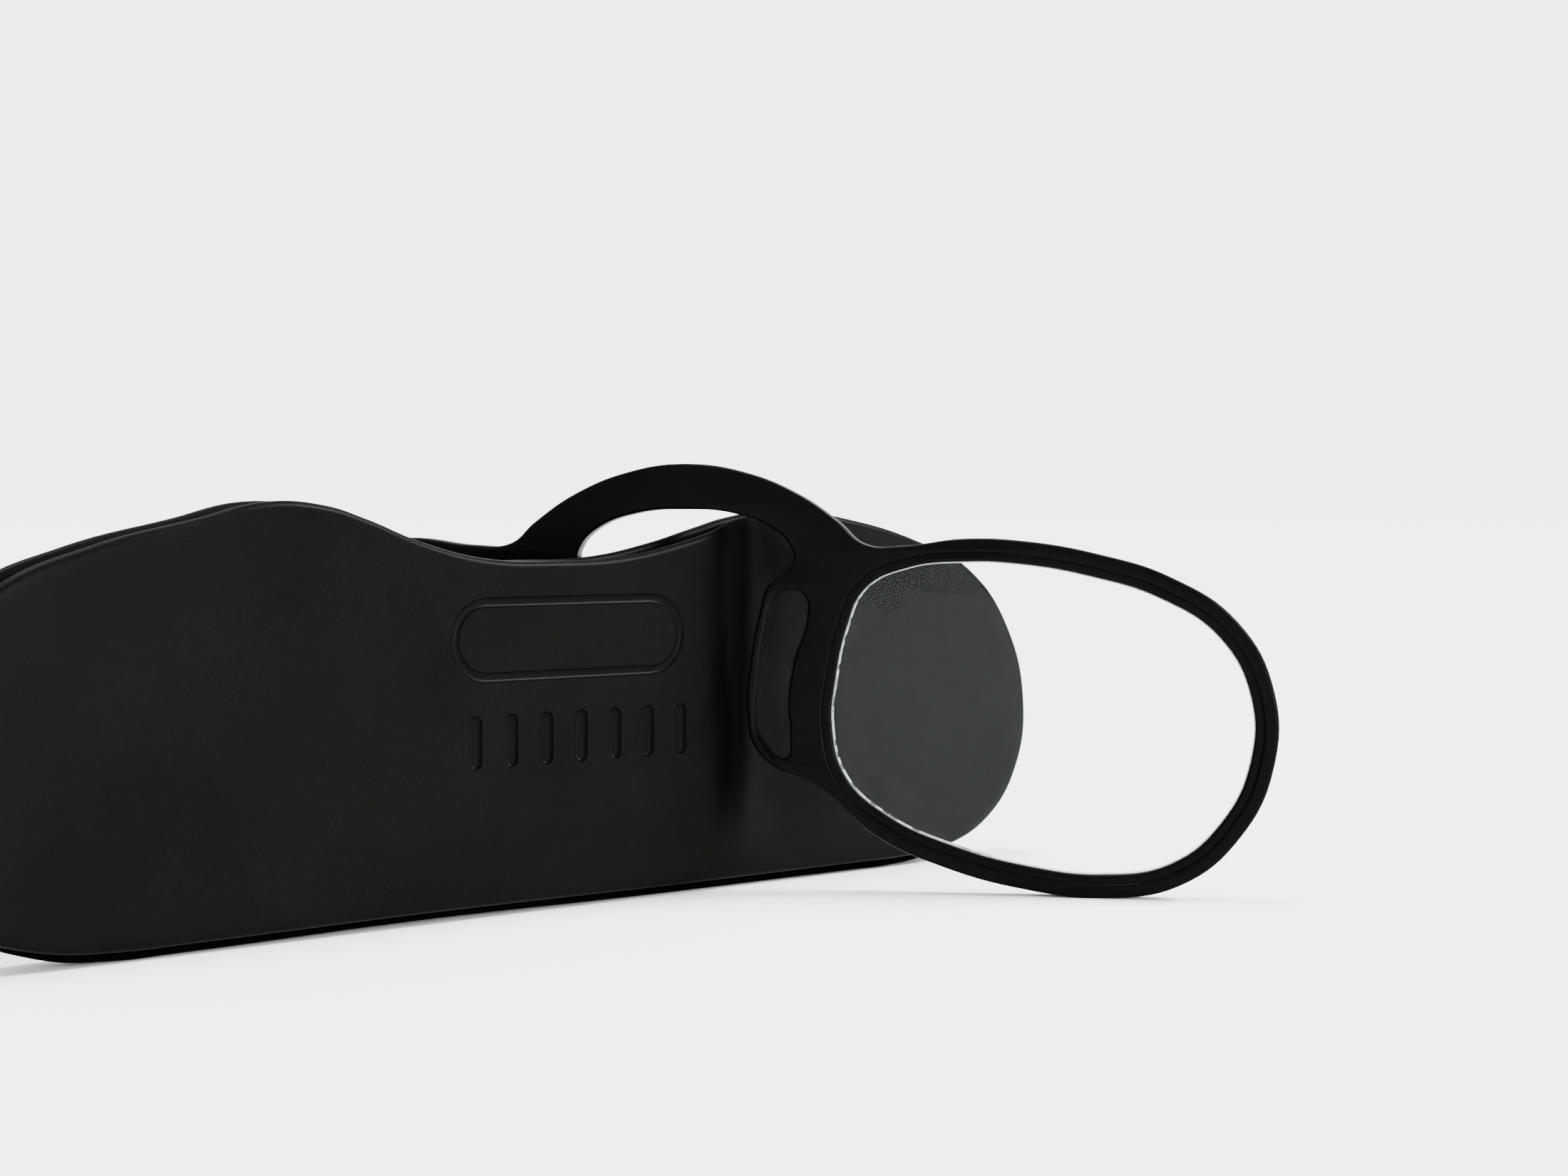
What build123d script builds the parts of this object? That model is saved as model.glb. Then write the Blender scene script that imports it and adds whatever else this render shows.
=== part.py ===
# Nose-clip reading glasses standing astride their own flat sleeve case.
# X runs along the case, Y through it (the marked wall faces -Y) and Z is up.
# The origin is the middle of the case's bottom edge. Everything is in millimetres.
from build123d import *
from math import cos, radians, sin
import os

os.makedirs("parts", exist_ok=True)

# Sleeve case
case_depth = 6.0
wall = 1.3
pocket = case_depth - 2 * wall
band_width = 2.0
mouth_height = 30.5
foot_half = 45.0
mouth_span = 140.0
scoop_height = 33.8
mark_depth = 0.3
racetrack_length = 28.0
racetrack_height = 8.2
racetrack_line = 1.1
racetrack_at = (1.5, 26.4)
bar_count = 7
bar_pitch = 4.1
bar_width = 1.5
bar_height = 5.2
bars_at = (2.6, 16.8)

# Glasses, drawn in their own flat plane: u to the wearer's side, v up, symmetrical about u = 0
glasses_at = (19.0, 0.95, 0.18)
glasses_yaw = 50.4
frame_depth = 2.4
rim_band = 2.3
groove_depth = 0.6
lens_thickness = 1.6
lens_clearance = 0.05

# Flexible bridge and nose pads
flex_at = (8.9, 41.25)
flex_tilt = 22.0
flex_above = 4.0
flex_below = 7.0
flex_gap = 0.2
pad_bottom = 14.4
pad_top = 29.2
pad_right = 9.5
pad_gap = 0.15

# Half of the case's outline from the middle of the thumb scoop, over the end, to the foot
case_side = [
    (0, scoop_height), (8, 34.05), (14.8, 35.1), (21, 36.8), (25, 37.9), (31, 38.6), (38, 37.8),
    (48, 35.5), (56.3, 32.1), (62.3, 25.6), (65.0, 17.0), (63.7, 9.8), (59.2, 4.3), (52, 0.9),
    (foot_half, 0),
]

# Right lens opening, drooping outwards, counter-clockwise from its top
lens_opening = [
    (34.5, 33.1), (28.5, 33.35), (22.8, 32.7), (18.5, 30.6), (16.6, 26.6), (15.5, 21.6), (15.1, 16.6),
    (16.5, 11.5), (20.8, 7.6), (27.3, 4.75), (34.8, 2.85), (42.3, 2.15), (49.2, 3.4), (54.2, 7.7),
    (56.9, 13.6), (56.95, 20.0), (53.9, 25.9), (48.0, 29.8), (41.3, 31.9),
]

# Outer edge of the bridge's arch, from the middle to the notch above the rim
arch_outside = [(0, 43.25), (6.0, 42.4), (11.7, 40.1), (15.8, 37.3), (19.6, 34.2)]

# Where the shoulder above the rim and the pad's foot below it run into the rim's band
shoulder_end = (24.0, 33.0)
pad_foot_end = (24.0, 12.0)

# Inner edge of the arch, from the shoulder of the nose pad to the middle
arch_inside = [(11.2, 33.4), (11.0, 34.7), (9.2, 36.6), (5.0, 38.2), (0, 38.6)]

# Nasal edge of the pad, from the rim below it to its top corner
pad_outside = [
    (15.9, 9.4), (13.4, 10.9), (9.4, 12.4), (7.2, 14.5), (6.45, 18.0), (6.75, 23.0), (8.1, 29.4),
]

# Slot between the pad and the rim, counter-clockwise from its top
pad_slot = [
    (10.6, 30.5), (9.1, 29.7), (8.1, 26.5), (7.4, 21.5), (7.2, 17.5), (8.1, 14.7), (10.4, 13.3),
    (10.9, 15.5), (10.7, 19.0), (11.3, 23.2), (12.6, 27.4), (12.4, 29.8),
]

glasses_x = (cos(radians(glasses_yaw)), -sin(radians(glasses_yaw)), 0)
glasses_facing = (-sin(radians(glasses_yaw)), -cos(radians(glasses_yaw)), 0)
glasses_plane = Plane(origin=glasses_at, x_dir=glasses_x, z_dir=glasses_facing)
mirror_plane = Plane(origin=glasses_at, x_dir=glasses_facing, z_dir=glasses_x)


def moved(points, distance, curve):
    """The points of a curve, each moved square to the curve: to its right as it runs."""
    directions = [curve.tangent_at(Vector(*point)) for point in points]
    return [
        (point[0] + distance * along.Y, point[1] - distance * along.X)
        for point, along in zip(points, directions)
    ]


# ---------------------------------------------------------------- sleeve case
case_curve = Edge.make_spline([Vector(*point) for point in case_side], [Vector(1, 0), Vector(-1, 0)])
band_side = moved(case_side, band_width, case_curve)

with BuildSketch(Plane.XZ) as case_outline:
    with BuildLine():
        Spline(*case_side, tangents=[(1, 0), (-1, 0)])
        mirror(about=Plane.YZ)
        Line((-foot_half, 0), (foot_half, 0))
    make_face()

with BuildSketch(Plane.XZ) as pocket_outline:
    with BuildLine():
        Spline(*band_side, tangents=[(1, 0), (-1, 0)])
        mirror(about=Plane.YZ)
        Line((-foot_half, band_width), (foot_half, band_width))
    make_face()

with BuildPart() as case_front_wall:
    with BuildSketch(Plane.XZ.offset(pocket / 2)):
        add(case_outline.sketch_local)
    extrude(amount=wall)
    with BuildSketch(Plane.XZ.offset(case_depth / 2)):
        with Locations(racetrack_at):
            SlotOverall(racetrack_length, racetrack_height)
            SlotOverall(
                racetrack_length - 2 * racetrack_line, racetrack_height - 2 * racetrack_line,
                mode=Mode.SUBTRACT,
            )
        with Locations(bars_at):
            with GridLocations(bar_pitch, 0, bar_count, 1):
                SlotOverall(bar_height, bar_width, rotation=90)
    extrude(amount=-mark_depth, mode=Mode.SUBTRACT)
case_front_wall.part.label = "case_front_wall"
export_step(case_front_wall.part, "parts/case_front_wall.step")

with BuildPart() as case_back_wall:
    with BuildSketch(Plane.XZ.offset(-case_depth / 2)):
        add(case_outline.sketch_local)
    extrude(amount=wall)
case_back_wall.part.label = "case_back_wall"
export_step(case_back_wall.part, "parts/case_back_wall.step")

# The band joins the walls along the foot and round both ends, and leaves the mouth open
with BuildPart() as case_edge_band:
    with BuildSketch(Plane.XZ.offset(-pocket / 2)):
        add(case_outline.sketch_local)
        add(pocket_outline.sketch_local, mode=Mode.SUBTRACT)
        with Locations((0, mouth_height)):
            Rectangle(mouth_span, scoop_height, align=(Align.CENTER, Align.MIN), mode=Mode.SUBTRACT)
    extrude(amount=pocket)
case_edge_band.part.label = "case_edge_band"
export_step(case_edge_band.part, "parts/case_edge_band.step")


# ---------------------------------------------------------------- glasses
lens_curve = Edge.make_spline([Vector(*point) for point in lens_opening], periodic=True)
rim_outside = moved(lens_opening, rim_band, lens_curve)
groove_floor = moved(lens_opening, groove_depth, lens_curve)
lens_edge = moved(lens_opening, groove_depth - lens_clearance, lens_curve)

with BuildSketch(glasses_plane) as right_half:
    with BuildLine():
        Spline(*arch_outside, tangents=[(1, 0), (0.75, -1)])
        Polyline(arch_outside[-1], shoulder_end, pad_foot_end, pad_outside[0])
        Spline(*pad_outside)
        Line(pad_outside[-1], arch_inside[0])
        Spline(*arch_inside, tangents=[(-0.4, 1), (-1, 0)])
        Line(arch_inside[-1], arch_outside[0])
    make_face()
    with BuildLine():
        Spline(*rim_outside, periodic=True)
    make_face()
    with BuildLine():
        Spline(*lens_opening, periodic=True)
    make_face(mode=Mode.SUBTRACT)
    with BuildLine():
        Spline(*pad_slot, periodic=True)
    make_face(mode=Mode.SUBTRACT)

# The bridge's flexing middle ends on lines that lean with the arch
flex_lean = (sin(radians(flex_tilt)), cos(radians(flex_tilt)))
flex_high = (flex_at[0] + flex_above * flex_lean[0], flex_at[1] + flex_above * flex_lean[1])
flex_low = (flex_at[0] - flex_below * flex_lean[0], flex_at[1] - flex_below * flex_lean[1])

with BuildSketch(glasses_plane) as middle_zone:
    with BuildLine():
        Polyline(
            flex_high, flex_low, (-flex_low[0], flex_low[1]), (-flex_high[0], flex_high[1]), close=True
        )
    make_face()

with BuildSketch(glasses_plane) as pad_zone:
    with BuildLine():
        Polyline((0, pad_bottom), (pad_right, pad_bottom), (pad_right, pad_top), (0, pad_top), close=True)
    make_face()

with BuildPart() as bridge_crown:
    with BuildSketch(glasses_plane):
        add(right_half.sketch_local)
        mirror(right_half.sketch_local, about=Plane.YZ)
        add(middle_zone.sketch_local, mode=Mode.INTERSECT)
    extrude(amount=frame_depth / 2, both=True)
bridge_crown.part.label = "bridge_crown"
export_step(bridge_crown.part, "parts/bridge_crown.step")

with BuildPart() as right_rim:
    with BuildSketch(glasses_plane):
        add(right_half.sketch_local)
        offset(middle_zone.sketch_local, amount=flex_gap, kind=Kind.INTERSECTION, mode=Mode.SUBTRACT)
        add(pad_zone.sketch_local, mode=Mode.SUBTRACT)
    extrude(amount=frame_depth / 2, both=True)
    with BuildSketch(glasses_plane):
        with BuildLine():
            Spline(*groove_floor, periodic=True)
        make_face()
    extrude(amount=lens_thickness / 2 + lens_clearance, both=True, mode=Mode.SUBTRACT)
right_rim.part.label = "right_rim"
export_step(right_rim.part, "parts/right_rim.step")

with BuildPart() as left_rim:
    mirror(right_rim.part, about=mirror_plane)
left_rim.part.label = "left_rim"
export_step(left_rim.part, "parts/left_rim.step")

with BuildPart() as right_lens:
    with BuildSketch(glasses_plane):
        with BuildLine():
            Spline(*lens_edge, periodic=True)
        make_face()
    extrude(amount=lens_thickness / 2, both=True)
right_lens.part.label = "right_lens"
export_step(right_lens.part, "parts/right_lens.step")

with BuildPart() as left_lens:
    mirror(right_lens.part, about=mirror_plane)
left_lens.part.label = "left_lens"
export_step(left_lens.part, "parts/left_lens.step")

with BuildPart() as right_nose_pad:
    with BuildSketch(glasses_plane):
        add(right_half.sketch_local)
        offset(pad_zone.sketch_local, amount=-pad_gap, kind=Kind.INTERSECTION, mode=Mode.INTERSECT)
    extrude(amount=frame_depth / 2, both=True)
right_nose_pad.part.label = "right_nose_pad"
export_step(right_nose_pad.part, "parts/right_nose_pad.step")

with BuildPart() as left_nose_pad:
    mirror(right_nose_pad.part, about=mirror_plane)
left_nose_pad.part.label = "left_nose_pad"
export_step(left_nose_pad.part, "parts/left_nose_pad.step")
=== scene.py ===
# Nose-clip reading glasses standing astride their sleeve case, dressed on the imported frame.
from math import cos, pi, radians, sin

import bmesh
import bpy
from mathutils import Matrix, Vector


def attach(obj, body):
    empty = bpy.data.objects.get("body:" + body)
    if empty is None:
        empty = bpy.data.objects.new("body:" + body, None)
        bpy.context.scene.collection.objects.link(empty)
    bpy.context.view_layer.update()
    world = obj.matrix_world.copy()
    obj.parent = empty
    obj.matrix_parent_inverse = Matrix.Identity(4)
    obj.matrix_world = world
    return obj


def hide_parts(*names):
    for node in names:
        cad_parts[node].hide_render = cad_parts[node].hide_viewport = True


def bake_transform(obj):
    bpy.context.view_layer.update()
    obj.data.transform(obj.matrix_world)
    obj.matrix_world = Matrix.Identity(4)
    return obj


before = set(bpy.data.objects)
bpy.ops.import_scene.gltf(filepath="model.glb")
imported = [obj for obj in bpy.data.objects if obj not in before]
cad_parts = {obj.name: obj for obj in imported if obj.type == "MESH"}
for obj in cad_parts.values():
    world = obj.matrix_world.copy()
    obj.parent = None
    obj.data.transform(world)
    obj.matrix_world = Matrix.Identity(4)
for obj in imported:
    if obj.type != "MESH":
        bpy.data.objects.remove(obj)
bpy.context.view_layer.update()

# Lengths are in millimetres unless a comment says metres; MM turns them into metres
MM = 0.001

# Camera
CAMERA_AT = Vector((-140.7, -200.0, 38.2))
CAMERA_PITCH = radians(90 - 1.67)
CAMERA_YAW = radians(-40.7)
CAMERA_LENS = 57.5
CAMERA_SENSOR = 36.0
CAMERA_NEAREST = 10.0

# Studio: how bright its backdrop and its light are, and the way to its dim side
BACKDROP = 4.6
STUDIO_BRIGHT = 3.0
STUDIO_DIM = 0.05
DIM_WAY = (0.927, -0.375, 0.0)
DIM_FADE = (0.5, 0.85)
FLOOR_COLOUR = (0.93, 0.93, 0.93)
FLOOR_HALF_METRES = 12.0

# Far soft lights: name, the way to it, its spread and its strength
SUNS = (
    ("soft_key", (0.62, -0.45, 0.64), radians(20), 9.0),
    ("soft_overhead", (-0.05, 0.1, 1.0), radians(14), 4.0),
)

# Light panels: name, its place and its aim in metres, its size in metres and its power
PANELS = (
    ("soft_front", (0.06, -0.62, 0.12), (0.03, 0.0, 0.02), (0.24, 0.24), 5.0),
    ("soft_side", (0.52, -0.4, 0.1), (0.05, 0.0, 0.02), (0.2, 0.2), 2.0),
)

# Moulded finishes: a slow drift in colour and roughness, and a fine grain in the bump
DRIFT_SCALE = 90.0
DRIFT_DETAIL = 4.0
GRAIN_DETAIL = 3.0
GRAIN_STRENGTH = 0.6
TINT_FADE = (0.12, 0.42)
# The crease beside the pad: a duller roughness, and a near-black colour that paints shade into it
CREASE_DULL_ROUGHNESS = 0.95
CREASE_SHADE_COLOUR = (0.0002, 0.0002, 0.0002, 1)

# Where the glasses stand across the case: u runs to the wearer's side, v up, w out of the front
GLASSES_AT = Vector((19.0, 0.95, 0.18))
GLASSES_YAW = radians(50.4)
SIDE_WAY = Vector((cos(GLASSES_YAW), -sin(GLASSES_YAW), 0))
FRONT_WAY = Vector((-sin(GLASSES_YAW), -cos(GLASSES_YAW), 0))

# Front moulding and the step behind it that holds a lens
FRAME_DEPTH = 2.4
FRAME_ROUND = 0.34
RIM_BAND = 2.3
LIP_WIDTH = 0.85
LIP_DEPTH = 1.8
LIP_ROUND = 0.3
LIP_TUCK = 0.4

# Lenses
LENS_HALF = 0.55
LENS_DOME = 0.15
LENS_BEVEL = 0.13
BEVEL_HALF = 0.3
BEVEL_PROUD = 0.08

# Nose pads: the heights where the pad strip is cut, and how far across it reaches
PAD_BOTTOM = 14.4
PAD_MIDDLE = 21.8
PAD_TOP = 29.2
PAD_RIGHT = 9.5

# Sleeve case
CASE_DEPTH = 6.0
WALL = 1.3
SPINE_HALF = 46.0
SPINE_HEIGHT = 18.0
MOUTH_HEIGHT = 30.5
BAND_WIDTH = 2.0
BAND_INSET = 0.3
BAND_TUCK = 0.1
WALL_EDGE = 1.5
BAND_EDGE = 2.5

# How the case's soft walls bow, lift at the foot, rise at the left shoulder and give at the crease
FRONT_BOW = 0.35
FRONT_BOW_AT = -18
FRONT_BOW_REACH = 52
BACK_BOW = 0.3
BACK_BOW_REACH = 60
BOW_HEIGHT = 17
BOW_RISE = 26
FOOT_LIFT = 1.0
FOOT_REACH = 6.0
SHOULDER_AT = 25
SHOULDER_REACH = 15
SHOULDER_RISE = 1.15
CREASE_AT = 25.4
CREASE_DEPTH = 2.0
CREASE_LEFT = 6.5
CREASE_RIGHT = 12.0
CREASE_FOOT = 4
CREASE_RUN = 18

# The crease patch beside the pad, painted darker as shade and made duller, each pair from clear to full:
# across the glasses, up and through
SHADE_AND_DULL_START = (2.2, 4.2)
SHADE_AND_DULL_END = (6.8, 5.2)
SHADE_AND_DULL_FOOT = (1.0, 12.0)
SHADE_AND_DULL_FACE = (0.0, -1.0)

# The plain mark pressed into the front wall
RACETRACK_LENGTH = 28.0
RACETRACK_HEIGHT = 8.2
RACETRACK_LINE = 1.1
RACETRACK_AT = (1.5, 26.4)
RACETRACK_DEPTH = 0.3
BAR_COUNT = 7
BAR_PITCH = 4.1
BAR_HEIGHT = 5.2
BAR_WIDTH = 1.5
BARS_AT = (2.6, 16.8)
BAR_DEPTH = 0.42
STAMP_ROUND = 0.5
STAMP_FLAT = 0.02

# Outlines, nearly the solid model's: the case's soft shoulders and the mouldings' joins are eased
CASE_SIDE = [
    (0, 33.8), (8, 34.1), (14.8, 35.3), (21, 36.9), (25, 37.9), (31, 38.6), (38, 37.8),
    (48, 35.5), (56.3, 32.1), (62.3, 25.6), (64.95, 17.0), (63.7, 9.8), (59.2, 4.3), (52, 0.9),
    (45, 0), (40, 0), (14, 0),
]
LENS_OPENING = [
    (34.5, 33.1), (28.5, 33.35), (22.8, 32.7), (18.5, 30.6), (16.6, 26.6), (15.5, 21.6), (15.1, 16.6),
    (16.5, 11.5), (20.8, 7.6), (27.3, 4.75), (34.8, 2.85), (42.3, 2.15), (49.2, 3.4), (54.2, 7.7),
    (56.9, 13.6), (56.95, 20.0), (53.9, 25.9), (48.0, 29.8), (41.3, 31.9),
]
ARCH_OUTSIDE = [(0, 43.25), (6.0, 42.4), (11.7, 40.1), (15.8, 37.3), (18.4, 35.1)]
ARCH_INSIDE = [(11.2, 33.4), (11.0, 34.7), (9.2, 36.6), (5.0, 38.2), (0, 38.6)]
PAD_OUTSIDE = [
    (13.4, 10.9), (9.4, 12.4), (7.2, 14.5), (6.45, 18.0), (6.75, 23.0), (7.8, 28.4), (8.5, 30.6),
]
PAD_SLOT = [
    (10.6, 30.5), (9.1, 29.7), (8.1, 26.5), (7.4, 21.5), (7.2, 17.5), (8.1, 14.7), (10.4, 13.3),
    (10.9, 15.5), (10.7, 19.0), (11.3, 23.2), (12.6, 27.4), (12.4, 29.8),
]

# Which of the rim's points bound the front, backwards from above the shoulder round to the pad's foot
RIM_FIRST = 2
RIM_COUNT = 14


# ---------------------------------------------------------------- shared node tools
def feed(tree, socket, value):
    """Gives a node's socket its value: a link from another socket, or a plain number or colour."""
    if isinstance(value, bpy.types.NodeSocket):
        tree.links.new(value, socket)
    else:
        socket.default_value = value


def maths(tree, operation, first, second):
    """One sum on two values."""
    node = tree.nodes.new("ShaderNodeMath")
    node.operation = operation
    feed(tree, node.inputs[0], first)
    feed(tree, node.inputs[1], second)
    return node.outputs["Value"]


def along(tree, place, way):
    """How far a place lies along a way."""
    node = tree.nodes.new("ShaderNodeVectorMath")
    node.operation = "DOT_PRODUCT"
    feed(tree, node.inputs[0], place)
    feed(tree, node.inputs[1], way)
    return node.outputs["Value"]


def ramp(tree, value, start, end, low=0.0, high=1.0, kind="LINEAR"):
    """Goes from low to high as the value goes from start to end, and no further."""
    node = tree.nodes.new("ShaderNodeMapRange")
    node.interpolation_type = kind
    for name, number in (("From Min", start), ("From Max", end), ("To Min", low), ("To Max", high)):
        node.inputs[name].default_value = number
    feed(tree, node.inputs["Value"], value)
    return node.outputs["Result"]


def mixed(tree, kind, share, first, second):
    """Fades from the first value to the second; kind is FLOAT or RGBA."""
    node = tree.nodes.new("ShaderNodeMix")
    node.data_type = kind
    feed(tree, node.inputs["Factor"], share)
    feed(tree, node.inputs["A"], first)
    feed(tree, node.inputs["B"], second)
    return node.outputs["Result"]


def noise(tree, place, scale, detail):
    """A smooth noise from 0 to 1."""
    node = tree.nodes.new("ShaderNodeTexNoise")
    node.inputs["Scale"].default_value = scale
    node.inputs["Detail"].default_value = detail
    feed(tree, node.inputs["Vector"], place)
    return node.outputs["Fac"]


# ---------------------------------------------------------------- camera, floor and light
def put_in_scene(name, data):
    """A new object with this data, in the scene."""
    item = bpy.data.objects.new(name, data)
    bpy.context.scene.collection.objects.link(item)
    return item


def add_camera():
    """Stands off the left end, level with the top of the case, and looks across it."""
    data = bpy.data.cameras.new("camera")
    data.sensor_width = CAMERA_SENSOR
    data.lens = CAMERA_LENS
    data.clip_start = CAMERA_NEAREST * MM
    camera = put_in_scene("camera", data)
    camera.location = CAMERA_AT * MM
    camera.rotation_euler = (CAMERA_PITCH, 0, CAMERA_YAW)
    bpy.context.scene.camera = camera


def add_floor():
    """A pale level floor that meets an equally pale backdrop at the horizon."""
    bm = bmesh.new()
    bmesh.ops.create_grid(bm, x_segments=8, y_segments=8, size=FLOOR_HALF_METRES)
    mesh = bpy.data.meshes.new("floor")
    bm.to_mesh(mesh)
    bm.free()
    floor = put_in_scene("floor", mesh)
    material, shader, _ = plain_material("pale_floor", FLOOR_COLOUR, 0.7)
    shader.inputs["Specular IOR Level"].default_value = 0.0
    mesh.materials.append(material)


def add_world():
    """A pale backdrop; the studio's light comes from all round but its dim side."""
    world = bpy.data.worlds.new("pale_studio")
    world.use_nodes = True
    tree = world.node_tree
    nodes = tree.nodes
    backdrop = nodes["Background"]
    backdrop.inputs["Color"].default_value = (1.0, 1.0, 1.0, 1)
    backdrop.inputs["Strength"].default_value = BACKDROP
    toward = along(tree, nodes.new("ShaderNodeTexCoord").outputs["Generated"], DIM_WAY)
    light = nodes.new("ShaderNodeBackground")
    strength = ramp(tree, toward, *DIM_FADE, STUDIO_BRIGHT, STUDIO_DIM, kind="SMOOTHSTEP")
    feed(tree, light.inputs["Strength"], strength)
    rays = nodes.new("ShaderNodeLightPath")
    seen = maths(tree, "MAXIMUM", rays.outputs["Is Camera Ray"], rays.outputs["Is Transmission Ray"])
    both = nodes.new("ShaderNodeMixShader")
    feed(tree, both.inputs["Fac"], seen)
    feed(tree, both.inputs[1], light.outputs["Background"])
    feed(tree, both.inputs[2], backdrop.outputs["Background"])
    feed(tree, nodes["World Output"].inputs["Surface"], both.outputs["Shader"])
    bpy.context.scene.world = world


def add_sun(name, way, spread, strength):
    """A wide soft light from far off, which lights the whole floor alike."""
    data = bpy.data.lights.new(name, "SUN")
    data.angle = spread
    data.energy = strength
    lamp = put_in_scene(name, data)
    lamp.rotation_euler = Vector(way).to_track_quat("Z", "Y").to_euler()


def add_panel(name, at, to, size, power):
    """A soft rectangular light near the object, turned to face a place."""
    data = bpy.data.lights.new(name, "AREA")
    data.shape = "RECTANGLE"
    data.size, data.size_y = size
    data.energy = power
    lamp = put_in_scene(name, data)
    lamp.location = at
    lamp.rotation_euler = (Vector(to) - Vector(at)).to_track_quat("-Z", "Y").to_euler()


# ---------------------------------------------------------------- materials
def plain_material(name, colour, roughness):
    """A material of one colour and roughness, with its shader and node tree to build on."""
    material = bpy.data.materials.new(name)
    material.use_nodes = True
    tree = material.node_tree
    shader = tree.nodes["Principled BSDF"]
    shader.inputs["Base Color"].default_value = (*colour, 1)
    shader.inputs["Roughness"].default_value = roughness
    return material, shader, tree


def crease_shade_and_dull(tree, place):
    """1 in the crease beside the pad and above the foot, where the front wall is painted darker as shade
    and made duller, and 0 elsewhere.
    """
    across = maths(tree, "SUBTRACT", along(tree, place, SIDE_WAY), GLASSES_AT.dot(SIDE_WAY) * MM)
    split = tree.nodes.new("ShaderNodeSeparateXYZ")
    feed(tree, split.inputs["Vector"], place)
    fades = (
        (across, SHADE_AND_DULL_START),
        (across, SHADE_AND_DULL_END),
        (split.outputs["Z"], SHADE_AND_DULL_FOOT),
        (split.outputs["Y"], SHADE_AND_DULL_FACE),
    )
    shade_and_dull = 1.0
    for value, (unshaded_at, shaded_at) in fades:
        share = ramp(tree, value, unshaded_at * MM, shaded_at * MM, kind="SMOOTHSTEP")
        shade_and_dull = maths(tree, "MULTIPLY", shade_and_dull, share)
    return shade_and_dull


def grained_material(name, dark, light, roughness, grain_size, grain_depth, specular, shaded_dull_crease=False):
    """A moulded finish: fine grain in the bump, a slow drift in the colour and the roughness."""
    material, shader, tree = plain_material(name, dark, roughness[0])
    shader.inputs["Specular IOR Level"].default_value = specular
    place = tree.nodes.new("ShaderNodeTexCoord").outputs["Object"]
    drift = noise(tree, place, DRIFT_SCALE, DRIFT_DETAIL)
    grain = noise(tree, place, 1 / (grain_size * MM), GRAIN_DETAIL)
    spread = ramp(tree, maths(tree, "MULTIPLY", drift, grain), *TINT_FADE)
    tint = mixed(tree, "RGBA", spread, (*dark, 1), (*light, 1))
    shine = ramp(tree, drift, 0.0, 1.0, *roughness)
    if shaded_dull_crease:
        shade_and_dull = crease_shade_and_dull(tree, place)
        # Painted shade: the crease's colour is darkened where the frame shadows it, and its roughness is
        # raised
        tint = mixed(tree, "RGBA", shade_and_dull, tint, CREASE_SHADE_COLOUR)
        shine = mixed(tree, "FLOAT", shade_and_dull, shine, CREASE_DULL_ROUGHNESS)
    feed(tree, shader.inputs["Base Color"], tint)
    feed(tree, shader.inputs["Roughness"], shine)
    bump = tree.nodes.new("ShaderNodeBump")
    bump.inputs["Strength"].default_value = GRAIN_STRENGTH
    bump.inputs["Distance"].default_value = grain_depth * MM
    feed(tree, bump.inputs["Height"], grain)
    feed(tree, shader.inputs["Normal"], bump.outputs["Normal"])
    return material


def frame_material():
    """Black nylon with a fine moulded grain."""
    return grained_material(
        "fine_matte_frame", (0.0005, 0.0005, 0.0005), (0.0009, 0.0009, 0.0009),
        roughness=(0.28, 0.38), grain_size=0.16, grain_depth=0.014, specular=0.025,
    )


def case_material():
    """Black soft-touch rubber, painted darker as shade and made duller in the crease beside the pad on
    the front wall.
    """
    return grained_material(
        "soft_touch_case", (0.0009, 0.0009, 0.0009), (0.0018, 0.0018, 0.0017),
        roughness=(0.32, 0.42), grain_size=0.22, grain_depth=0.014, specular=0.02, shaded_dull_crease=True,
    )


def band_material():
    """The dull dark rubber between the case's walls."""
    return grained_material(
        "band_rubber", (0.0003, 0.0003, 0.0003), (0.0006, 0.0006, 0.0006),
        roughness=(0.7, 0.85), grain_size=0.22, grain_depth=0.006, specular=0.005,
    )


def lens_material():
    """Clear coated plastic that hardly bends or mirrors what is behind it."""
    material, shader, _ = plain_material("clear_lens", (0.98, 0.99, 0.99), 0.0)
    shader.inputs["IOR"].default_value = 1.12
    shader.inputs["Transmission Weight"].default_value = 1.0
    return material


def lens_edge_material():
    """The pale ground edge of a lens."""
    material, shader, _ = plain_material("frosted_lens_edge", (0.8, 0.82, 0.81), 0.25)
    shader.inputs["Subsurface Weight"].default_value = 0.3
    shader.inputs["Subsurface Radius"].default_value = (MM, MM, MM)
    return material


# ---------------------------------------------------------------- shared mesh tools
def add_loop(data, points, corners=()):
    """Adds a closed smooth loop to a curve; the listed points are sharp corners."""
    spline = data.splines.new("BEZIER")
    spline.bezier_points.add(len(points) - 1)
    for number, (knot, point) in enumerate(zip(spline.bezier_points, points)):
        knot.co = (*point, 0)
        kind = "VECTOR" if number in corners else "AUTO"
        knot.handle_left_type = kind
        knot.handle_right_type = kind
    spline.use_cyclic_u = True
    spline.resolution_u = 8


def bezier(points, corners=()):
    """A flat curve of one closed, smooth loop through the points."""
    data = bpy.data.curves.new("outline", "CURVE")
    data.dimensions = "2D"
    add_loop(data, points, corners)
    return data


def mesh_of(data):
    """The curve as a bmesh, its touching points merged."""
    curve = put_in_scene("outline", data)
    bpy.context.view_layer.update()
    mesh = bpy.data.meshes.new_from_object(curve.evaluated_get(bpy.context.evaluated_depsgraph_get()))
    bpy.data.objects.remove(curve)
    bm = bmesh.new()
    bm.from_mesh(mesh)
    bmesh.ops.remove_doubles(bm, verts=bm.verts, dist=0.001)
    return bm


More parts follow.
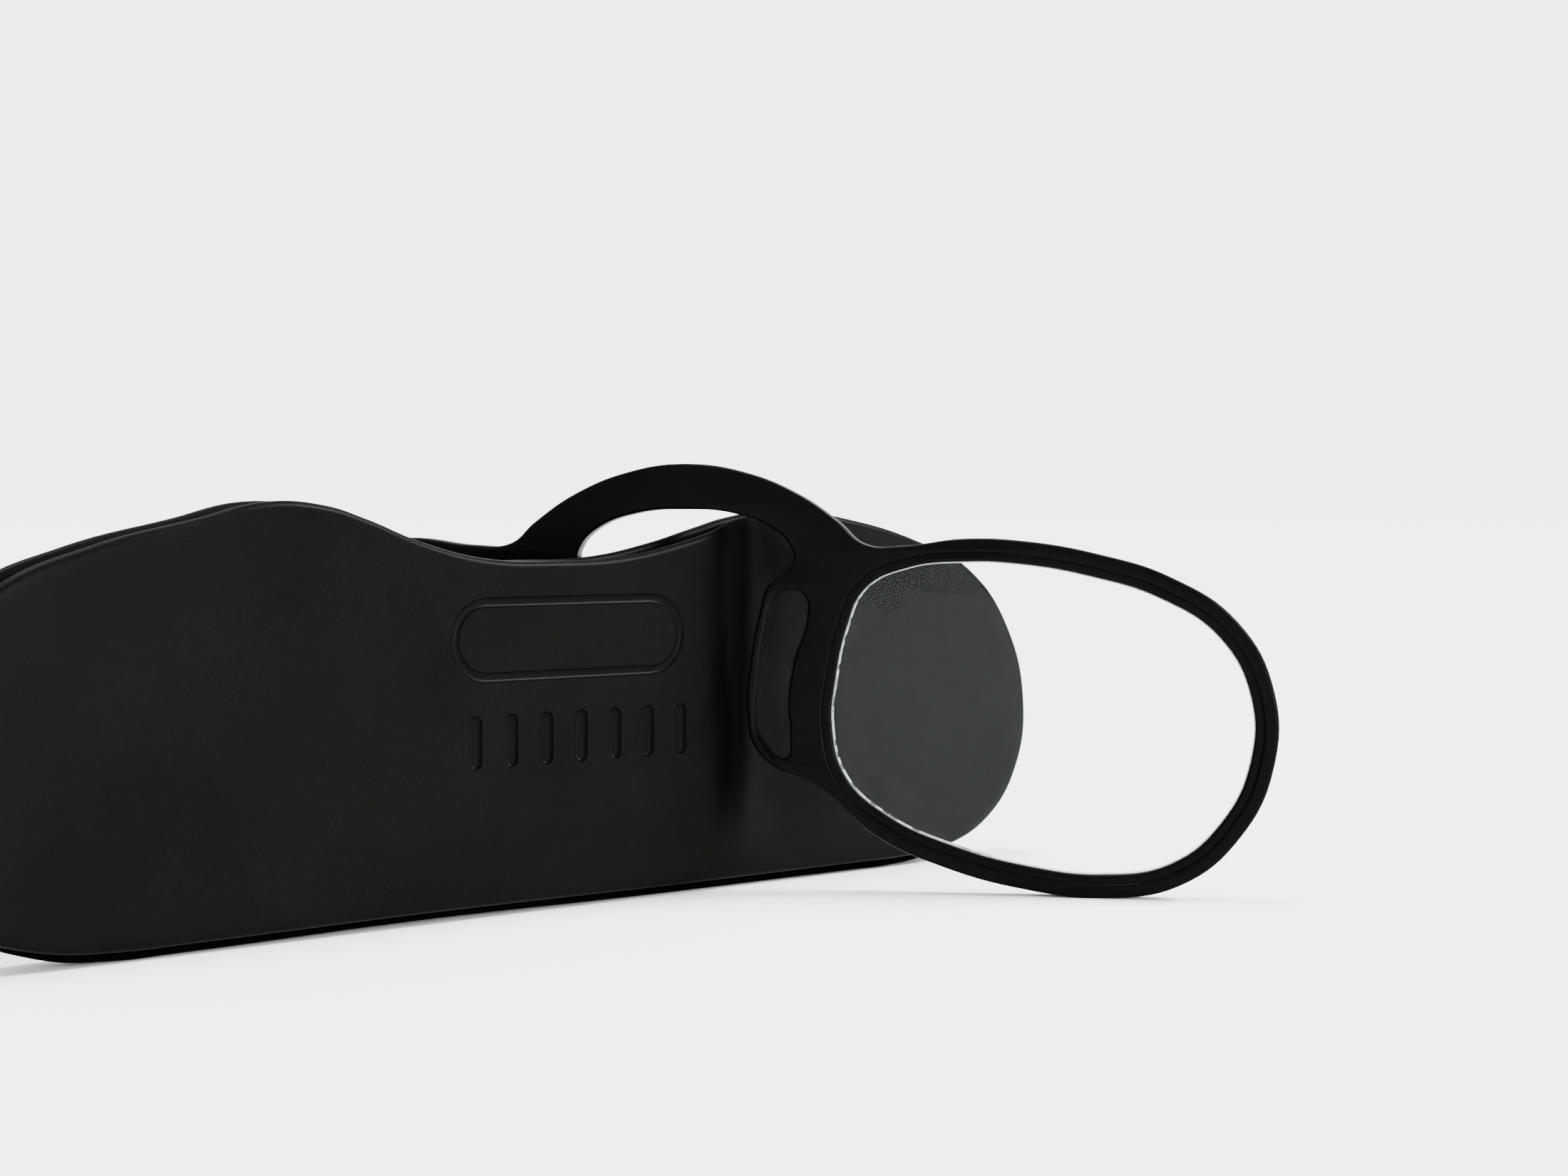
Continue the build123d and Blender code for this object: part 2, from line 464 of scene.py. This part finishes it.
def plate(loops, depth, rounding, corners=()):
    """A flat plate with rounded edges: the first loop is its outside and the others are holes."""
    data = bezier(loops[0], corners)
    for loop in loops[1:]:
        add_loop(data, loop)
    data.fill_mode = "BOTH"
    data.extrude = depth / 2 - rounding
    data.bevel_depth = rounding
    data.bevel_resolution = 3
    data.offset = -rounding
    return mesh_of(data)


def moved(points, distance):
    """A closed outline's points, each moved to the right of the way it runs."""
    count = len(points)
    result = []
    for number, point in enumerate(points):
        before = Vector(points[number - 1])
        after = Vector(points[(number + 1) % count])
        run = (after - before).normalized()
        result.append((point[0] + distance * run.y, point[1] - distance * run.x))
    return result


def cut(bm, at, way, clear=False):
    """Cuts a bmesh along a plane, and with clear drops what lies ahead of it."""
    geometry = bm.verts[:] + bm.edges[:] + bm.faces[:]
    bmesh.ops.bisect_plane(
        bm, geom=geometry, dist=0.0001, plane_co=at, plane_no=way, clear_outer=clear
    )


def sorted_loop(bm):
    """The bmesh's one loop of edges as a list of its points in order."""
    first = bm.verts[:][0]
    loop = [first]
    edge = first.link_edges[0]
    point = edge.other_vert(first)
    while point is not first:
        loop.append(point)
        edge = next(link for link in point.link_edges if link is not edge)
        point = edge.other_vert(point)
    return loop


def next_ring(bm, loop):
    """Extrudes a ring's edges and returns the new points in the same order."""
    edges = [bm.edges.get((loop[number - 1], loop[number])) for number in range(len(loop))]
    made = bmesh.ops.extrude_edge_only(bm, edges=edges)["geom"]
    fresh = {item for item in made if isinstance(item, bmesh.types.BMVert)}
    return [next(e.other_vert(v) for e in v.link_edges if e.other_vert(v) in fresh) for v in loop]


def ringed(bm, rings, middle_of=None, closed=False):
    """Skins a loop of edges with rings, each (mm in, share to the middle, height).

    The middle is the loop's centre, or what middle_of gives for a point. With closed, the last ring
    joins the first; without it, both are filled.
    """
    fresh = sorted_loop(bm)
    start = [vert.co.copy() for vert in fresh]
    centre = sum(start, Vector()) / len(start)
    for number, (inward, share, height) in enumerate(rings):
        if number:
            fresh = next_ring(bm, fresh)
        for vert, at in zip(fresh, start):
            middle = middle_of(at) if middle_of else centre
            way = middle - at
            vert.co = (at + way * (inward / way.length)).lerp(middle, share)
            vert.co.z = height
    ends = [edge for edge in bm.edges if edge.is_boundary]
    if closed:
        bmesh.ops.bridge_loops(bm, edges=ends)
    else:
        bmesh.ops.holes_fill(bm, edges=ends)
        bmesh.ops.triangulate(bm, faces=[face for face in bm.faces if len(face.verts) > 4])
    return bm


def bump_shape(distance, reach):
    """A smooth hump: 1 at no distance, falling to 0 at its reach."""
    share = min(1.0, abs(distance) / reach)
    return (1 - share * share) ** 2


def join_into(bm, other):
    """Adds another bmesh's shape to this one."""
    mesh = bpy.data.meshes.new("joined")
    other.to_mesh(mesh)
    other.free()
    bm.from_mesh(mesh)
    bpy.data.meshes.remove(mesh)


def pressed(bm, tool):
    """The first shape with the second one cut out of it."""
    pair = []
    for shape in (bm, tool):
        mesh = bpy.data.meshes.new("pressing")
        bmesh.ops.recalc_face_normals(shape, faces=shape.faces)
        shape.to_mesh(mesh)
        shape.free()
        pair.append(put_in_scene("pressing", mesh))
    press = pair[0].modifiers.new("press", "BOOLEAN")
    press.operation = "DIFFERENCE"
    press.solver = "EXACT"
    press.object = pair[1]
    bpy.context.view_layer.update()
    mesh = bpy.data.meshes.new_from_object(pair[0].evaluated_get(bpy.context.evaluated_depsgraph_get()))
    for piece in pair:
        bpy.data.objects.remove(piece)
    result = bmesh.new()
    result.from_mesh(mesh)
    bpy.data.meshes.remove(mesh)
    return result


def finish_piece(name, bm, material, angle=35.0):
    """Turns a bmesh into an object with smooth faces and sharp corners kept."""
    bmesh.ops.recalc_face_normals(bm, faces=bm.faces)
    mesh = bpy.data.meshes.new(name)
    bm.to_mesh(mesh)
    bm.free()
    mesh.materials.append(material)
    for face in mesh.polygons:
        face.use_smooth = True
    mesh.set_sharp_from_angle(angle=radians(angle))
    return put_in_scene(name, mesh)


# ---------------------------------------------------------------- glasses
def stand_across(bm, side):
    """Takes a shape drawn in the glasses' own plane to its place; side -1 is its mirror image."""
    place = Matrix.Identity(4)
    for row in range(3):
        place[row][0] = SIDE_WAY[row] * side * MM
        place[row][1] = (0, 0, 1)[row] * MM
        place[row][2] = FRONT_WAY[row] * MM
        place[row][3] = GLASSES_AT[row] * MM
    bmesh.ops.transform(bm, matrix=place, verts=bm.verts)


def half_front():
    """One half of the front: arch, shoulder, rim and pad strip in one moulding."""
    rim = moved(LENS_OPENING, RIM_BAND)
    over_rim = [rim[RIM_FIRST - step] for step in range(RIM_COUNT)]
    middle_high = (-ARCH_OUTSIDE[1][0], ARCH_OUTSIDE[1][1])
    middle_low = (-ARCH_INSIDE[-2][0], ARCH_INSIDE[-2][1])
    outside = [middle_high] + ARCH_OUTSIDE + over_rim + PAD_OUTSIDE + ARCH_INSIDE + [middle_low]
    corners = (0, len(outside) - 1)
    opening = moved(LENS_OPENING, LIP_WIDTH)
    return plate([outside, opening, PAD_SLOT], FRAME_DEPTH, FRAME_ROUND, corners)


def in_pad_zone(face, low, high):
    """Whether a face of the moulding belongs to the pad strip between two heights."""
    middle = face.calc_center_median()
    return middle.x < PAD_RIGHT and low < middle.y < high


def front_pieces():
    """The moulding without its pad strip, and the strip's upper and lower halves."""
    whole = half_front()
    cut(whole, (0, 0, 0), (-1, 0, 0), clear=True)
    for height in (PAD_BOTTOM, PAD_MIDDLE, PAD_TOP):
        cut(whole, (0, height, 0), (0, 1, 0))
    pieces = []
    for low, high in ((None, None), (PAD_MIDDLE, PAD_TOP), (PAD_BOTTOM, PAD_MIDDLE)):
        part = whole.copy()
        if low is None:
            gone = [face for face in part.faces if in_pad_zone(face, PAD_BOTTOM, PAD_TOP)]
        else:
            gone = [face for face in part.faces if not in_pad_zone(face, low, high)]
        bmesh.ops.delete(part, geom=gone, context="FACES")
        bmesh.ops.holes_fill(part, edges=part.edges)
        pieces.append(part)
    whole.free()
    return pieces


def lens_lip():
    """The lower step of the rim that holds the lens."""
    outside = moved(LENS_OPENING, LIP_WIDTH + LIP_TUCK)
    return plate([outside, LENS_OPENING], LIP_DEPTH, LIP_ROUND)


def lens_glass():
    """A thin lens, a little domed on its front."""
    shares = [0.0, 0.15, 0.3, 0.45, 0.6, 0.75, 0.9]
    domed = [LENS_HALF + LENS_DOME * (1 - (1 - share) ** 2) for share in shares]
    front = [(LENS_BEVEL, share, height) for share, height in zip(shares, domed)]
    back = [(LENS_BEVEL, share, -LENS_HALF) for share in shares]
    return ringed(mesh_of(bezier(LENS_OPENING)), front[::-1] + back)


def lens_bevel():
    """The ground bevel round the lens, which catches the light."""
    section = [
        (-BEVEL_PROUD, 0, -BEVEL_HALF),
        (LENS_BEVEL, 0, -LENS_HALF),
        (LENS_BEVEL, 0, LENS_HALF),
        (-BEVEL_PROUD, 0, BEVEL_HALF),
    ]
    return ringed(mesh_of(bezier(LENS_OPENING)), section, closed=True)


# ---------------------------------------------------------------- sleeve case
def case_loop(longest):
    """The case's outline, clockwise from the thumb scoop, with its longer edges cut in three.

    The bridge presses only the right shoulder down.
    """
    left = [
        (-x, z + SHOULDER_RISE * bump_shape(x - SHOULDER_AT, SHOULDER_REACH))
        for x, z in reversed(CASE_SIDE[1:])
    ]
    bm = mesh_of(bezier(CASE_SIDE + left))
    edges = [edge for edge in bm.edges if edge.calc_length() > longest]
    bmesh.ops.subdivide_edges(bm, edges=edges, cuts=2)
    return bm


def spine_point(point):
    """The nearest point of the line that runs along the middle of the wall."""
    return Vector((max(-SPINE_HALF, min(SPINE_HALF, point.x)), SPINE_HEIGHT, 0))


def wall_skin():
    """A soft wall lying flat, with a round lip: x along, y up, z out of its outer face."""
    half = WALL / 2
    shares = [0.9, 0.75, 0.6, 0.45, 0.32, 0.2, 0.11, 0.05]
    turns = [-pi / 2, -pi / 3, -pi / 6, 0, pi / 6, pi / 3, pi / 2]
    inner = [(half, share, -half) for share in shares]
    lip = [(half * (1 - cos(turn)), 0, half * sin(turn)) for turn in turns]
    outer = [(half, share, half) for share in reversed(shares)]
    return ringed(case_loop(WALL_EDGE), inner + lip + outer, spine_point)


def front_give(x, z):
    """How far the front wall stands out at a place, where the glasses press it in at a crease."""
    bow = FRONT_BOW * bump_shape(x - FRONT_BOW_AT, FRONT_BOW_REACH) * bump_shape(z - BOW_HEIGHT, BOW_RISE)
    side = CREASE_LEFT if x < CREASE_AT else CREASE_RIGHT
    depth = CREASE_DEPTH * max(0.0, min(1.0, (z - CREASE_FOOT) / CREASE_RUN))
    press = depth * bump_shape(x - CREASE_AT, side)
    return bow - press


def back_give(x, z):
    """The back wall only bows a little."""
    return BACK_BOW * bump_shape(x, BACK_BOW_REACH) * bump_shape(z - BOW_HEIGHT, BOW_RISE)


def place_wall(bm, level, give):
    """Stands a flat skin up as the front (-1) or back (+1) wall."""
    for vert in bm.verts:
        x, z, out = vert.co
        out += give(x, z)
        lift = FOOT_LIFT * max(0.0, 1 - z / FOOT_REACH) ** 2
        vert.co = (x, level * (CASE_DEPTH / 2 - WALL / 2 + out), z + lift)
    bmesh.ops.transform(bm, matrix=Matrix.Scale(MM, 4), verts=bm.verts)


def racetrack(length, height, segments=10):
    """The points of a stadium outline, as straight sides and round ends."""
    radius = height / 2
    reach = length / 2 - radius
    arc = [pi * step / segments - pi / 2 for step in range(segments + 1)]
    right = [(reach + radius * cos(turn), radius * sin(turn)) for turn in arc]
    return right + [(-x, -y) for x, y in right]


def stamp(loops, at, depth):
    """A round-edged bar or ring, half sunk in the wall's outer face, that presses a groove into it."""
    data = bpy.data.curves.new("stamp", "CURVE")
    data.dimensions = "2D"
    data.fill_mode = "BOTH"
    for points in loops:
        spline = data.splines.new("POLY")
        spline.points.add(len(points) - 1)
        for knot, (x, y) in zip(spline.points, points):
            knot.co = (at[0] + x, at[1] + y, 0, 1)
        spline.use_cyclic_u = True
    data.extrude = STAMP_FLAT
    data.bevel_depth = STAMP_ROUND
    data.bevel_resolution = 5
    data.offset = -STAMP_ROUND
    bm = mesh_of(data)
    height = WALL / 2 + STAMP_ROUND + STAMP_FLAT - depth
    bmesh.ops.translate(bm, verts=bm.verts, vec=(0, 0, height))
    bmesh.ops.recalc_face_normals(bm, faces=bm.faces)
    return bm


def mark_stamps():
    """A plain racetrack over a row of plain bars."""
    outside = racetrack(RACETRACK_LENGTH, RACETRACK_HEIGHT)
    inside = racetrack(RACETRACK_LENGTH - 2 * RACETRACK_LINE, RACETRACK_HEIGHT - 2 * RACETRACK_LINE)
    bm = stamp([outside, inside], RACETRACK_AT, RACETRACK_DEPTH)
    bar = [(y, x) for x, y in racetrack(BAR_HEIGHT, BAR_WIDTH, 8)]
    for number in range(BAR_COUNT):
        along_row = (number - BAR_COUNT // 2) * BAR_PITCH
        join_into(bm, stamp([bar], (BARS_AT[0] + along_row, BARS_AT[1]), BAR_DEPTH))
    return bm


def band_strip():
    """The strip between the walls, along the foot and round both ends."""
    half = CASE_DEPTH / 2 - WALL
    tucked = half + BAND_TUCK
    turns = [pi * step / 6 for step in range(7)]
    section = [(BAND_WIDTH, 0, tucked), (BAND_INSET, 0, tucked)]
    section += [(BAND_INSET - BAND_INSET * sin(turn), 0, half * cos(turn)) for turn in turns]
    section += [(BAND_INSET, 0, -tucked), (BAND_WIDTH, 0, -tucked)]
    bm = ringed(case_loop(BAND_EDGE), section, spine_point, closed=True)
    cut(bm, (0, MOUTH_HEIGHT, 0), (0, 1, 0), clear=True)
    bmesh.ops.holes_fill(bm, edges=[edge for edge in bm.edges if edge.is_boundary])
    for vert in bm.verts:
        x, z, y = vert.co
        vert.co = (x, y, max(0.0, z))
    bmesh.ops.transform(bm, matrix=Matrix.Scale(MM, 4), verts=bm.verts)
    return bm


# ---------------------------------------------------------------- the pieces on their bodies
def dress_front(name, side, black):
    """One half of the front moulding, with its pad strip as an upper and a lower piece."""
    front, pad_upper, pad_lower = front_pieces()
    for bm in (front, pad_upper, pad_lower):
        stand_across(bm, side)
    moulding = finish_piece(f"{name}_front_moulding", front, black)
    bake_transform(moulding)
    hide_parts(f"{name}_rim", "bridge_crown")
    for label, bm, fixed_end in (("upper", pad_upper, PAD_TOP), ("lower", pad_lower, PAD_BOTTOM)):
        strip = finish_piece(f"{name}_pad_{label}", bm, black)
        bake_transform(strip)
        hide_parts(f"{name}_nose_pad")


def dress_lens(name, side, black, clear, frosted):
    """The lip that holds one lens, the lens and its bevel."""
    bm = lens_lip()
    stand_across(bm, side)
    lip = finish_piece(f"{name}_lens_lip", bm, black)
    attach(lip, f"{name}_side")
    for label, bm, material in (("glass", lens_glass(), clear), ("bevel", lens_bevel(), frosted)):
        stand_across(bm, side)
        lens = finish_piece(f"{name}_lens_{label}", bm, material)
        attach(lens, f"{name}_side")
        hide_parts(f"{name}_lens")


def dress_wall(name, bm, level, give, black):
    """One wall of the case, from its flat skin."""
    place_wall(bm, level, give)
    wall = finish_piece(f"case_{name}_shell", bm, black)
    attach(wall, "case")
    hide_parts(f"case_{name}_wall")


def dress_band(black):
    """The band between the case's walls."""
    band = finish_piece("case_band_strip", band_strip(), black)
    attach(band, "case")
    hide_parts("case_edge_band")


add_camera()
add_floor()
add_world()
for sun in SUNS:
    add_sun(*sun)
for panel in PANELS:
    add_panel(*panel)

frame_black = frame_material()
clear_lens = lens_material()
lens_edge = lens_edge_material()
for name, side in (("right", 1), ("left", -1)):
    dress_front(name, side, frame_black)
    dress_lens(name, side, frame_black, clear_lens, lens_edge)

case_black = case_material()
dress_wall("front", pressed(wall_skin(), mark_stamps()), -1, front_give, case_black)
dress_wall("back", wall_skin(), 1, back_give, case_black)
dress_band(band_material())
